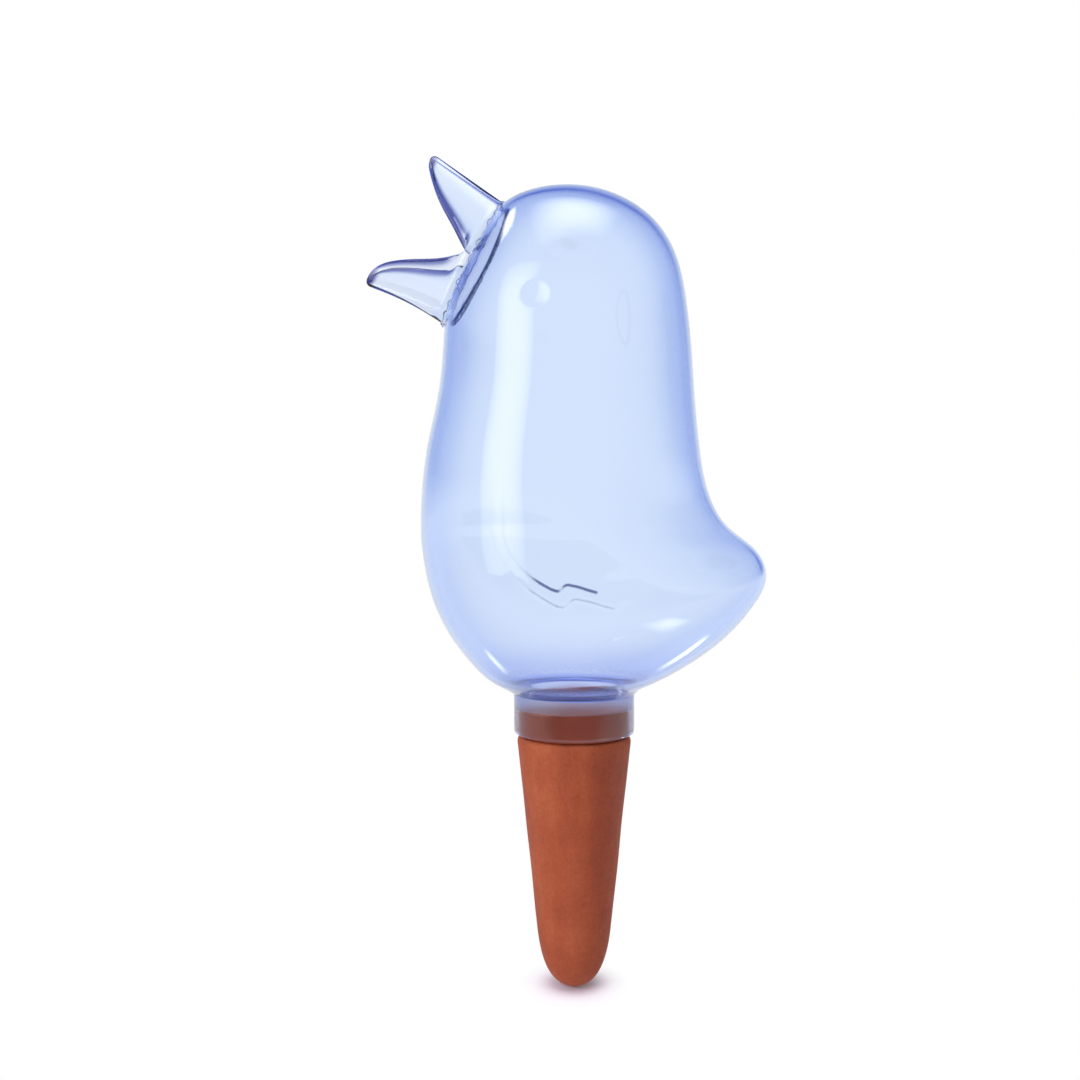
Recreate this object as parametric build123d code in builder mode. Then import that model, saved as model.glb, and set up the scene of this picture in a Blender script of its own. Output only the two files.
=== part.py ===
"""Bird-shaped watering globe: a hollow bird with an open beak, pushed over a porous clay cone.

The origin is on the cone's axis at the clay shoulder, which is the soil line. +Z is up, the beak points
to -X, and the bird is symmetric about the XZ plane. All lengths are millimetres and angles degrees.
"""

import os
from math import cos, exp, pi, radians, sin, sqrt, tan

from build123d import *

# Clay cone: spigot above the soil line, tapered stake below it, blind bore for the water
spigot_radius = 12.8
spigot_height = 7.0
shoulder_step = 1.65
shoulder_round = 1.0
cone_length = 62.8
cone_taper = 6.2
nose_height = 13.8
nose_fullness = 9.0
nose_flat = 5.6
clay_wall = 4.4
nose_wall = 6.0

# Sealing sleeve between the spigot and the collar
sleeve_thickness = 1.0
sleeve_seat = 0.6
sleeve_setback = 0.2
running_clearance = 0.04

# Collar of the bird, and the ledge at its top
collar_wall = 1.25
collar_seat = 0.6
collar_round = 0.8
collar_lip = 0.2
collar_headroom = 3.5
ledge_width = 2.6
ledge_thickness = 1.4

# Bird wall, and the flat face where the beak is fixed, above the last of the lower sections
wall = 1.3
neck_rise = 32.2
face_reach = 24.9
face_tilt = 26.9
face_half_length = 17.0

# Lower cross-sections of the bird: height above the collar, reach of the breast and of the back, half width
lower_sections = [
    (1.0, 17.2, 16.4, 16.8),
    (3.0, 20.8, 20.2, 20.5),
    (7.4, 25.6, 28.4, 25.6),
    (14.4, 31.0, 38.0, 30.0),
    (22.4, 35.0, 45.2, 32.3),
    (29.4, 37.0, 48.3, 33.1),
    (35.4, 38.0, 46.0, 33.4),
    (41.4, 38.4, 38.9, 33.5),
    (49.4, 38.2, 33.9, 33.3),
    (61.4, 36.8, 31.3, 32.5),
    (75.4, 34.0, 30.0, 31.3),
]
# Upper cross-sections: height from the middle of the face, swell in front of the face, back, half width
face_sections = [
    (-20.2, -2.3, 29.2, 30.4),
    (-10.2, 1.5, 28.1, 29.4),
    (-0.2, 2.0, 26.0, 27.0),
    (8.3, 1.6, 21.4, 22.4),
    (14.1, 0.5, 14.6, 15.9),
    (17.2, -5.6, 7.2, 8.6),
    (17.9, -10.4, 2.6, 3.9),
]
section_points = 20
tail_pinch = 0.5
tail_ridge_height = 36.4
tail_ridge_spread = 14.0

# Eye hollows and wing pads on both flanks
eye_drop = 14.4
eye_reach = 9.8
eye_radius = 3.3
eye_depth = 0.6
wing_top = 58.0
wing_middle = 42.0
wing_bottom = 23.2
wing_shoulder = 10.6
wing_front = 19.3
wing_back = 17.5
wing_back_middle = 10.5
wing_rise = 0.5
first_feather = 4.5
second_feather = 6.2
feather_step = 1.8

# Beak: two open mandibles in one moulding
beak_length = 22.2
beak_wall = 1.3
beak_base_half_width = 8.6
beak_waist = 3.0
beak_waist_half_width = 6.6
beak_tip_half_width = 3.2
upper_tip_rise = 3.2
keel_arch = 0.8
tip_height = 3.2
tip_round = 1.0
gape_depth = 2.8
gape_rise = 1.4
gape_round = 1.1
# Rims of the mandibles: share of the way from the tip to the gape, and bow towards the ridge or the keel
upper_rim = [(0.25, 0.9), (0.65, 0.45)]
lower_rim = [(0.25, -1.4), (0.7, -0.35)]
flange_thickness = 1.2
plug_inset = 2.2
plug_clearance = 0.15
plug_wall = 1.1
plug_overhang = 0.5

# Bead of adhesive behind the face, round the plug of the beak
bead_width = 1.0
bead_height = 1.1
bead_clearance = 0.05

# Sizes and planes that follow from the ones above
sleeve_inner = spigot_radius + running_clearance
sleeve_outer = sleeve_inner + sleeve_thickness
sleeve_height = spigot_height - sleeve_seat - sleeve_setback
collar_bore = sleeve_outer + running_clearance
collar_radius = collar_bore + collar_wall
cone_radius = spigot_radius + shoulder_step
ledge_bottom = spigot_height + collar_headroom
bird_base = ledge_bottom + ledge_thickness - wall
collar_height = bird_base - collar_seat
face_height = lower_sections[-1][0] + neck_rise
face_out = (-cos(radians(face_tilt)), 0, sin(radians(face_tilt)))
face_up = (sin(radians(face_tilt)), 0, cos(radians(face_tilt)))
face_middle = (-face_reach, 0, bird_base + face_height)
face_plane = Plane(face_middle, x_dir=face_up, z_dir=face_out)
side_plane = Plane(face_middle, x_dir=face_out, z_dir=(0, 1, 0))
hole_half_length = face_half_length - plug_inset
hole_half_width = beak_base_half_width - plug_inset
plug_half_length = hole_half_length - plug_clearance
plug_half_width = hole_half_width - plug_clearance
plug_depth = wall + bead_height + plug_overhang


def flank_radius(depth):
    """Radius of the cone's straight flank at a depth below the shoulder."""
    return cone_radius - depth * tan(radians(cone_taper))


def bird_stations():
    """All cross-sections of the bird as height above the collar, breast, back and half width."""
    base_radius = collar_radius + collar_lip
    stations = [(0.0, base_radius, base_radius, base_radius)]
    stations += lower_sections
    for rise, swell, back, half_width in face_sections:
        front = face_reach - rise * tan(radians(face_tilt)) + swell
        stations.append((face_height + rise, front, back, half_width))
    return stations


stations = bird_stations()
longest_reach = max(front for height, front, back, half_width in stations)
widest_reach = max(half_width for height, front, back, half_width in stations)
middle_height = stations[-1][0] / 2


def bird_section(station, growth):
    """Outline of one cross-section: an oval narrowed towards the tail, moved out by the growth."""
    height, front, back, half_width = station
    pinch = tail_pinch * exp(-(((height - tail_ridge_height) / tail_ridge_spread) ** 2))
    widest = min((back - front) / 2, 0)
    stretch_x = 1 + growth / longest_reach
    stretch_y = 1 + growth / widest_reach
    level = bird_base + height + growth * (height - middle_height) / middle_height
    points = []
    for i in range(section_points):
        turn = 2 * pi * i / section_points
        along = -cos(turn)
        reach = front + widest if along < 0 else back - widest
        narrowing = 1 - pinch * max(along, 0) ** 2
        points.append(((widest + reach * along) * stretch_x, half_width * sin(turn) * narrowing * stretch_y))
    with BuildSketch(Plane.XY.offset(level)) as section:
        with BuildLine():
            Spline(*points, periodic=True)
        make_face()
    return section.sketch


def flank_at(height, along):
    """Half width of the bird at a height and a place along X, between the two nearest cross-sections."""
    above = next(i for i, station in enumerate(stations) if station[0] > height)
    low = stations[above - 1]
    high = stations[above]
    share = (height - low[0]) / (high[0] - low[0])
    front, back, half_width = [a + (b - a) * share for a, b in zip(low[1:], high[1:])]
    widest = min((back - front) / 2, 0)
    reach = front + widest if along < widest else back - widest
    return half_width * sqrt(1 - ((along - widest) / reach) ** 2)


def beak_section(out, inset):
    """Oval section of the beak at a distance out of the face, drawn in by the inset."""
    top = face_half_length + upper_tip_rise * out / beak_length
    bottom = keel_arch * sin(pi * out / beak_length) - face_half_length
    taper = (beak_waist_half_width - beak_tip_half_width) * out / beak_length
    flare = (beak_base_half_width - beak_waist_half_width) * max(1 - out / beak_waist, 0) ** 2
    half_width = beak_waist_half_width - taper + flare
    with BuildSketch(face_plane.offset(out)) as section:
        with Locations(((top + bottom) / 2, 0)):
            Ellipse((top - bottom) / 2 - inset, half_width - inset)
    return section.sketch


def rim_points(tip, gape, bows):
    """Points of a mandible's rim between its tip and the gape, each moved sideways by its bow."""
    run = Vector(*gape) - Vector(*tip)
    side = Vector(-run.Y, run.X).normalized()
    places = [Vector(*tip) + run * share + side * bow for share, bow in bows]
    return [(place.X, place.Y) for place in places]


os.makedirs("parts", exist_ok=True)

# Clay cone
nose_depth = cone_length - nose_height
nose_radius = flank_radius(nose_depth)
bore_depth = cone_length - nose_wall
bore_radius = flank_radius(-spigot_height) - clay_wall
bore_end_radius = nose_radius - clay_wall
with BuildPart() as clay_cone:
    with BuildSketch(Plane.XZ):
        with BuildLine():
            Polyline(
                (0, -cone_length),
                (0, spigot_height),
                (spigot_radius, spigot_height),
                (spigot_radius, 0),
                (cone_radius, 0),
                (nose_radius, -nose_depth),
            )
            Bezier(
                (nose_radius, -nose_depth),
                (flank_radius(nose_depth + nose_fullness), -nose_depth - nose_fullness),
                (nose_flat, -cone_length),
                (0, -cone_length),
            )
        make_face()
    revolve(axis=Axis.Z)
    with BuildSketch(Plane.XZ):
        with BuildLine():
            Polyline(
                (0, -bore_depth),
                (0, spigot_height),
                (bore_radius, spigot_height),
                (bore_end_radius, -nose_depth),
            )
            Bezier(
                (bore_end_radius, -nose_depth),
                (bore_end_radius, -bore_depth),
                (bore_end_radius, -bore_depth),
                (0, -bore_depth),
            )
        make_face()
    revolve(axis=Axis.Z, mode=Mode.SUBTRACT)
    shoulder_edge = clay_cone.edges().filter_by(GeomType.CIRCLE).sort_by(SortBy.RADIUS)[-1]
    fillet(shoulder_edge, shoulder_round)
clay_cone.part.label = "clay_cone"
export_step(clay_cone.part, "parts/clay_cone.step")

# Sealing sleeve on the spigot
with BuildPart() as sealing_sleeve:
    with BuildSketch(Plane.XY.offset(sleeve_seat)):
        Circle(sleeve_outer)
        Circle(sleeve_inner, mode=Mode.SUBTRACT)
    extrude(amount=sleeve_height)
sealing_sleeve.part.label = "sealing_sleeve"
export_step(sealing_sleeve.part, "parts/sealing_sleeve.step")

# Wing pads: the bird grown by their rise, inside the outline of a wing with two feather ends
shoulder_point = (-wing_shoulder, bird_base + wing_top)
first_tip = (-first_feather, bird_base + wing_bottom)
first_notch = (feather_step - first_feather, bird_base + wing_bottom + feather_step)
second_tip = (second_feather, bird_base + wing_bottom)
second_notch = (second_feather + feather_step, bird_base + wing_bottom + feather_step)
wing_end = (wing_back, bird_base + wing_bottom + feather_step)
with BuildPart() as wing_pads:
    loft(sections=[bird_section(station, wing_rise) for station in stations])
    with BuildSketch(Plane.XZ):
        with BuildLine():
            Spline(
                shoulder_point,
                (-wing_front, bird_base + wing_middle),
                first_tip,
                tangents=((-1, 0), (1, -0.25)),
            )
            Polyline(first_tip, first_notch, second_tip, second_notch, wing_end)
            Spline(
                wing_end,
                (wing_back_middle, bird_base + wing_middle),
                shoulder_point,
                tangents=((0.4, 1), (-1, 0)),
            )
        make_face()
    extrude(amount=2 * widest_reach, both=True, mode=Mode.INTERSECT)

# Hollow of the bird, which stops a wall short of the face
with BuildPart() as cavity:
    loft(sections=[bird_section(station, -wall) for station in stations])
    split(bisect_by=face_plane.offset(-wall), keep=Keep.BOTTOM)

# Bird: outer form and wing pads, collar, hollow, neck passage, opening in the face, eye hollows
eye_height = face_height - eye_drop
eye_ball = (eye_radius**2 + eye_depth**2) / (2 * eye_depth)
eye_offset = flank_at(eye_height, -eye_reach) - eye_depth + eye_ball
with BuildPart() as body_shell:
    loft(sections=[bird_section(station, 0) for station in stations])
    add(wing_pads.part)
    split(bisect_by=face_plane, keep=Keep.BOTTOM)
    with BuildSketch(Plane.XY.offset(collar_seat)):
        Circle(collar_radius)
    extrude(amount=collar_height + wall / 2)
    add(cavity.part, mode=Mode.SUBTRACT)
    with BuildSketch(Plane.XY.offset(collar_seat)):
        Circle(collar_bore)
    extrude(amount=ledge_bottom - collar_seat, mode=Mode.SUBTRACT)
    with BuildSketch(Plane.XY.offset(ledge_bottom)):
        Circle(collar_bore - ledge_width)
    extrude(amount=2 * ledge_thickness, mode=Mode.SUBTRACT)
    with BuildSketch(face_plane):
        Ellipse(hole_half_length, hole_half_width)
    extrude(amount=-2 * wall, mode=Mode.SUBTRACT)
    with Locations(
        (-eye_reach, -eye_offset, bird_base + eye_height),
        (-eye_reach, eye_offset, bird_base + eye_height),
    ):
        Sphere(eye_ball, mode=Mode.SUBTRACT)
    collar_rim = body_shell.edges().filter_by(GeomType.CIRCLE).group_by(Axis.Z)[0]
    fillet(collar_rim.sort_by(SortBy.RADIUS)[-1], collar_round)
body_shell.part.label = "body_shell"
export_step(body_shell.part, "parts/body_shell.step")

# Beak: mandibles with a flange on the face and a plug through its opening
front_levels = [beak_waist + (beak_length - beak_waist) * i / 3 for i in range(5)]
outer_levels = [0, beak_waist / 2] + front_levels
inner_levels = [flange_thickness] + front_levels
upper_crest = face_half_length + upper_tip_rise
lower_crest = -face_half_length
upper_end = (beak_length - 2 * tip_round, upper_crest + tip_round)
lower_end = (beak_length - 2 * tip_round, lower_crest - tip_round)
upper_tip = (beak_length, upper_crest - tip_height)
lower_tip = (beak_length, lower_crest + tip_height)
upper_gape = (gape_depth + gape_round / 2, gape_rise + gape_round)
lower_gape = (gape_depth + gape_round / 2, gape_rise - gape_round)
with BuildPart() as beak:
    loft(sections=[beak_section(level, 0) for level in outer_levels])
    loft(sections=[beak_section(level, beak_wall) for level in inner_levels], mode=Mode.SUBTRACT)
    with BuildSketch(face_plane):
        Ellipse(plug_half_length, plug_half_width)
    extrude(amount=-plug_depth)
    with BuildSketch(face_plane.offset(-plug_depth)):
        Ellipse(plug_half_length - plug_wall, plug_half_width - plug_wall)
    extrude(amount=plug_depth + 2 * flange_thickness, mode=Mode.SUBTRACT)
    with BuildSketch(side_plane):
        with BuildLine():
            Spline(
                upper_end,
                (beak_length, upper_crest - tip_round),
                upper_tip,
                *rim_points(upper_tip, upper_gape, upper_rim),
                upper_gape,
                (gape_depth, gape_rise),
                lower_gape,
                *reversed(rim_points(lower_tip, lower_gape, lower_rim)),
                lower_tip,
                (beak_length, lower_crest + tip_round),
                lower_end,
            )
            Polyline(
                lower_end,
                (2 * beak_length, lower_end[1]),
                (2 * beak_length, upper_end[1]),
                upper_end,
            )
        make_face()
    extrude(amount=2 * beak_base_half_width, both=True, mode=Mode.SUBTRACT)
beak.part.label = "beak"
export_step(beak.part, "parts/beak.step")

# Bead of adhesive behind the face
bead_half_length = plug_half_length + bead_clearance
bead_half_width = plug_half_width + bead_clearance
with BuildPart() as beak_bond:
    with BuildSketch(face_plane.offset(-wall - bead_height)):
        Ellipse(bead_half_length + bead_width, bead_half_width + bead_width)
        Ellipse(bead_half_length, bead_half_width, mode=Mode.SUBTRACT)
    extrude(amount=bead_height)
beak_bond.part.label = "beak_bond"
export_step(beak_bond.part, "parts/beak_bond.step")
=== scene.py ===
import math

import bmesh
import bpy
import numpy as np
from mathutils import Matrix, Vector


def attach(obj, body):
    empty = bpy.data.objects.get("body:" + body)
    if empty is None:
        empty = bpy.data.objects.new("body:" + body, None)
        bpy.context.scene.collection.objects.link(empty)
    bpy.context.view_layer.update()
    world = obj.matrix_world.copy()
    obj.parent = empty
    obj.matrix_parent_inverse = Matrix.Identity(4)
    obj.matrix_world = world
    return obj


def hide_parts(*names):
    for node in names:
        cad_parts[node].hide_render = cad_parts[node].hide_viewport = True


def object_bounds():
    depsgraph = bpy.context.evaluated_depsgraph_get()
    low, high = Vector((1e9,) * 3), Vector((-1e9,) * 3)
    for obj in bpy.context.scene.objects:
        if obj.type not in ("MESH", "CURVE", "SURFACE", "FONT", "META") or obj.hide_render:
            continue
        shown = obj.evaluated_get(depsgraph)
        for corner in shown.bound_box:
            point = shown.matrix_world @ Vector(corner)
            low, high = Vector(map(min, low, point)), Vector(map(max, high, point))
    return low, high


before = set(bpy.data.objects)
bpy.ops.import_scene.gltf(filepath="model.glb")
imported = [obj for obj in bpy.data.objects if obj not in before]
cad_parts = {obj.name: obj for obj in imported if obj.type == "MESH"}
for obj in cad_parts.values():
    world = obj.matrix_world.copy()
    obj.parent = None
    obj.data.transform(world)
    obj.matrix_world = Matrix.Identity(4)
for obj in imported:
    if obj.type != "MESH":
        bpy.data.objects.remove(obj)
cadLow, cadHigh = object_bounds()
mm = 0.001
print("frame loaded with", len(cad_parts), "nodes")

# the flat face that the beak sits on, in mm: n runs out of it, u up along it and y across
face = {"middle": (-24.9, 0.0, 118.2), "tilt": 26.9}
faceTilt = math.radians(face["tilt"])
faceMiddle = np.array(face["middle"])
faceOut = np.array([-math.cos(faceTilt), 0.0, math.sin(faceTilt)])
faceUp = np.array([math.sin(faceTilt), 0.0, math.cos(faceTilt)])
faceAcross = np.array([0.0, 1.0, 0.0])


# point in mm = middle of the face + n along its normal + u along its slope + y across
def fromFace(n, u, y):
    n, u, y = np.broadcast_arrays(n, u, y)
    return faceMiddle + n[..., None] * faceOut + u[..., None] * faceUp + y[..., None] * faceAcross


# eased step from 0 at low to 1 at high: 3t^2 - 2t^3
def easedStep(value, low, high):
    t = np.clip((value - low) / (high - low), 0, 1)
    return t * t * (3 - 2 * t)


# natural cubic spline through rows of values, spaced by the straight distance between rows
def smoothThrough(rows, count):
    rows = np.asarray(rows, float)
    gaps = np.linalg.norm(np.diff(rows, axis=0), axis=1)
    knots = np.concatenate([[0.0], np.cumsum(gaps)])
    inner = np.arange(1, len(knots) - 1)
    system = np.eye(len(knots))
    system[inner, inner - 1] = gaps[:-1]
    system[inner, inner] = 2 * (gaps[:-1] + gaps[1:])
    system[inner, inner + 1] = gaps[1:]
    bends = np.zeros_like(rows)
    bends[inner] = 6 * np.diff(np.diff(rows, axis=0) / gaps[:, None], axis=0)
    bends = np.linalg.solve(system, bends)
    where = np.linspace(0, knots[-1], count)
    left = np.clip(np.searchsorted(knots, where, side="right") - 1, 0, len(gaps) - 1)
    gap = gaps[left][:, None]
    after = (where - knots[left])[:, None]
    before = gap - after
    curve = (bends[left] * before**3 + bends[left + 1] * after**3) / (6 * gap)
    curve += (rows[left] / gap - bends[left] * gap / 6) * before
    curve += (rows[left + 1] / gap - bends[left + 1] * gap / 6) * after
    return curve


# polyline with its inner corners rounded: each corner is a quadratic curve cut back by its radius
def roundedPath(corners, radii, steps=5):
    corners = np.asarray(corners, float)
    t = np.linspace(0, 1, steps)[:, None]
    pieces = [corners[:1]]
    for before, corner, after, radius in zip(corners, corners[1:], corners[2:], radii):
        start = corner + (before - corner) / np.linalg.norm(before - corner) * radius
        end = corner + (after - corner) / np.linalg.norm(after - corner) * radius
        pieces.append((1 - t) ** 2 * start + 2 * t * (1 - t) * corner + t**2 * end)
    pieces.append(corners[-1:])
    return np.concatenate(pieces)


# quads of a grid whose points run row by row
def gridQuads(rows, columns, closedRows=False, closedColumns=True, first=0):
    i = np.arange(rows if closedRows else rows - 1)[:, None]
    j = np.arange(columns if closedColumns else columns - 1)[None, :]
    below = i * columns
    above = (i + 1) % rows * columns
    right = (j + 1) % columns
    quads = np.stack([below + j, below + right, above + right, above + j], axis=-1)
    return quads.reshape(-1, 4) + first


# rings of radius r at height z, one for each row of a profile
def latheRings(profile, turn):
    r, z = profile[:, 0, None], profile[:, 1, None]
    return np.stack(np.broadcast_arrays(r * np.cos(turn), r * np.sin(turn), z), axis=-1)


# sum of sines round the turn, from the number of waves, the size and the phase of each
def sines(turn, waves, parts):
    return sum(size * np.sin(wave * turn + phase) for wave, (size, phase) in zip(waves, parts))


# object with its data, put into the scene
def placed(name, data):
    thing = bpy.data.objects.new(name, data)
    bpy.context.scene.collection.objects.link(thing)
    return thing


weld = {"merge": 2e-7, "sliver": 1e-8}  # metres


# mesh from points in mm, welded, faced outwards and smooth but for edges sharper than the crease angle;
# wetted is kept at the faces and values at the points, for the finish to read
def makePiece(name, points, faces, body, node, slot, look, wetted=None, values=None, crease=35):
    mesh = bpy.data.meshes.new(name)
    mesh.from_pydata((points.reshape(-1, 3) * mm).tolist(), [], faces.tolist())
    mesh.materials.append(look)
    if wetted is not None:
        mesh.attributes.new("wetted", "FLOAT", "FACE").data.foreach_set("value", wetted.astype(np.float32))
    for key, value in (values or {}).items():
        kept = mesh.attributes.new(key, "FLOAT", "POINT")
        kept.data.foreach_set("value", value.ravel().astype(np.float32))
    work = bmesh.new()
    work.from_mesh(mesh)
    bmesh.ops.remove_doubles(work, verts=work.verts, dist=weld["merge"])
    bmesh.ops.dissolve_degenerate(work, edges=work.edges, dist=weld["sliver"])
    bmesh.ops.recalc_face_normals(work, faces=work.faces)
    openEdges = sum(not edge.is_manifold for edge in work.edges)
    work.to_mesh(mesh)
    work.free()
    mesh.polygons.foreach_set("use_smooth", np.ones(len(mesh.polygons), bool))
    mesh.set_sharp_from_angle(angle=math.radians(crease))
    piece = placed(name, mesh)
    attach(piece, body)
    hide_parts(node)
    print(name, "has", len(mesh.polygons), "faces and", openEdges, "open edges")
    return piece


# bird: sections as height above the collar, reach of the breast, reach of the back and half width, in mm
bird = {
    "collarTop": 10.6,
    "sections": [
        (0.0, 15.4, 15.4, 15.4),
        (1.0, 17.2, 16.4, 16.8),
        (3.0, 20.8, 20.2, 20.5),
        (7.4, 25.6, 28.4, 25.6),
        (14.4, 31.0, 38.0, 30.0),
        (22.4, 35.0, 45.2, 32.3),
        (29.4, 37.0, 48.3, 33.1),
        (35.4, 38.0, 46.0, 33.4),
        (41.4, 38.4, 38.9, 33.5),
        (49.4, 38.2, 33.9, 33.3),
        (61.4, 36.8, 31.3, 32.5),
        (75.4, 34.0, 30.0, 31.3),
        (87.4, 32.8, 29.2, 30.4),
        (97.4, 31.6, 28.1, 29.4),
        (107.4, 27.0, 26.0, 27.0),
        (115.9, 22.3, 21.4, 22.4),
        (121.7, 18.2, 14.6, 15.9),
        (124.8, 10.6, 7.2, 8.6),
        (125.5, 5.4, 2.6, 3.9),
        (125.75, 1.4, -1.4, 0.0),
    ],
    "tailPinch": 0.5,
    "tailRidge": 36.4,
    "tailSpread": 14.0,
    "tailLeast": 0.05,  # share of the width that the pinch always leaves
    "wall": 1.3,
    "innerFloor": 12.9,  # the inside starts above this height
    "faceWall": 0.7,
    "holeHalf": (16.2, 7.8),
    # neck and collar
    "floorEdge": (14.6, 12.1),
    "ledgeRadius": 11.28,
    "ledgeTop": 11.9,
    "ledgeFoot": 10.5,
    "boreRadius": 13.88,
    "sealTop": 6.9,
    "sealFoot": 1.3,
    "collarRadius": 15.13,
    "collarFoot": 0.6,
    "collarFootEnd": 1.45,
    "collarTuck": (0.4, 0.2),  # the collar's last rings, below its top
    "neckRounding": [0.5, 0.4, 0.3, 0.05, 0.05, 0.25, 0.7, 0.05, 0.05],
    # wing and eye
    "wing": [
        (-19.3, 62.0), (-19.3, 50.0), (-17.6, 45.4), (-14.4, 41.2), (-11.2, 38.3), (-8.2, 36.2),
        (-5.6, 34.7), (-3.7, 34.0), (-2.7, 34.4), (-1.9, 35.6), (-0.7, 36.0), (2.2, 35.4), (5.6, 34.3),
        (7.9, 33.7), (8.9, 34.0), (9.5, 35.0), (17.0, 35.5), (24.0, 44.0), (20.0, 62.0), (0.0, 74.0),
        (-14.0, 73.0),
    ],
    "wingRise": 0.3,
    "wingSoftness": 0.6,
    "wingLow": (37.0, 43.0),  # most of the relief fades out between these heights
    "wingLowShare": 0.75,
    "wingHigh": (52.0, 70.0),  # the rest of it between these
    "wingBack": (7.0, 14.0),  # and all of it towards the tail
    "lineBreak": (-2.6, 0.8),  # place and half length of the break in the painted shade line between the feather ends
    "breakDepth": 0.85,
    "lineEnd": (7.2, 8.2),
    "lineThins": (35.5, 39.5),
    "lineThinning": 0.7,
    "farBreadth": 2.0,  # the far flank's painted shade line is broader
    "nearShare": 0.32,  # and the near flank's is paler
    "offWing": -9.0,
    "eye": (-9.6, 104.0),
    "eyeRadius": 3.4,
    "eyeDepth": 0.5,
    "eyeLip": (0.9, 1.1),
    # finish
    "boreMargin": (0.02, 0.2),  # in radius and height, for what counts as the bore
    "ledgeMargin": 0.1,
    "sealTouch": 0.65,  # share of the bore that the seal touches
    "frostHeight": 12.5,
    "frostSpread": 2.5,
    "frostShare": 0.8,
    # painted shade: darker blue on the ledge, in the bare bore above the seal and low in the bulb
    "ledgeShade": 0.6,
    "boreShade": 0.12,
    "bulbFloorShade": 0.2,
    "shadeHeight": 14.0,
    "shadeSpread": 5.0,
    # grid
    "profileSamples": 6000,
    "columns": 168,
    "crowding": 0.2,
    "footHeights": (0.25, 6.0),
    "footRings": 18,
    "fanHeight": 92.0,  # rings are level up to here, then fan out towards the face
    "levelRings": 130,
    "fanRings": 110,
    "faceRings": 10,
    "probeStart": -60.0,
    "probeLength": 120.0,
    "probeSteps": 2400,
    "crease": 50,
}

# past the crown the outline goes on as its mirror image, so that the spline runs level over the top
stations = np.array(bird["sections"])
pastCrown = stations[-2:-4:-1] * (1, -1, -1, -1)
pastCrown = pastCrown[:, [0, 2, 1, 3]]
birdProfile = smoothThrough(np.concatenate([stations, pastCrown]), bird["profileSamples"])
birdProfile = birdProfile[: np.argmax(birdProfile[:, 0]) + 1]


# below 0 inside the bird: a level cut is an oval of two half lengths, narrowed towards the tail ridge
def outsideBird(point):
    height = point[..., 2] - bird["collarTop"]
    front, back, half = [np.interp(height, birdProfile[:, 0], birdProfile[:, k]) for k in (1, 2, 3)]
    widest = np.minimum((back - front) / 2, 0)
    x = point[..., 0] - widest
    along = x / np.maximum(np.where(x < 0, front + widest, back - widest), 1e-6)
    pinch = bird["tailPinch"] * np.exp(-(((height - bird["tailRidge"]) / bird["tailSpread"]) ** 2))
    narrowing = np.maximum(1 - pinch * np.maximum(along, 0) ** 2, bird["tailLeast"])
    oval = along**2 + (point[..., 1] / np.maximum(half * narrowing, 1e-6)) ** 2 - 1
    return np.where(height > birdProfile[-1, 0], 1.0, oval)


# distance along each ray to the bird's surface, by halving the stretch between inside and outside
def reachOfBird(origin, direction, farthest=90.0, halvings=44):
    near = np.zeros(direction.shape[:-1])
    far = np.full_like(near, farthest)
    for halving in range(halvings):
        middle = (near + far) / 2
        inside = outsideBird(origin + middle[..., None] * direction) < 0
        near = np.where(inside, middle, near)
        far = np.where(inside, far, middle)
    return (near + far) / 2


# signed distance in mm from (x, z) to the wing's outline, above 0 inside it
def insideWing(x, z):
    corners = np.array(bird["wing"])
    nearest = np.full(x.shape, np.inf)
    crossings = np.zeros(x.shape, int)
    for start, end in zip(corners, np.roll(corners, -1, axis=0)):
        run = end - start
        beyond, above = x - start[0], z - start[1]
        share = np.clip((beyond * run[0] + above * run[1]) / (run @ run), 0, 1)
        nearest = np.minimum(nearest, np.hypot(beyond - share * run[0], above - share * run[1]))
        spans = (start[1] > z) != (end[1] > z)
        rise = run[1] if run[1] != 0 else 1e-9
        crossings += spans & (x < start[0] + above / rise * run[0])
    return np.where(crossings % 2 == 1, nearest, -nearest)


# the wing's relief fades upwards, in two steps, and towards the tail
def wingFade(point):
    share = bird["wingLowShare"]
    upper = (1 - share) * (1 - easedStep(point[..., 2], *bird["wingHigh"]))
    lower = share * (1 - easedStep(point[..., 2], *bird["wingLow"]))
    return (upper + lower) * (1 - easedStep(point[..., 0], *bird["wingBack"]))


# height of the moulded relief: the wing's raised pad, fading up and back, less the hollow of the eye
def birdRelief(point):
    x, z = point[..., 0], point[..., 2]
    pad = easedStep(insideWing(x, z), -bird["wingSoftness"], bird["wingSoftness"])
    pad = pad * wingFade(point)
    away = np.hypot(x - bird["eye"][0], z - bird["eye"][1]) / bird["eyeRadius"]
    hollow = np.clip(1 - away**2, 0, 1) * (1 - easedStep(away, *bird["eyeLip"]))
    return bird["wingRise"] * pad - bird["eyeDepth"] * hollow


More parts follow.
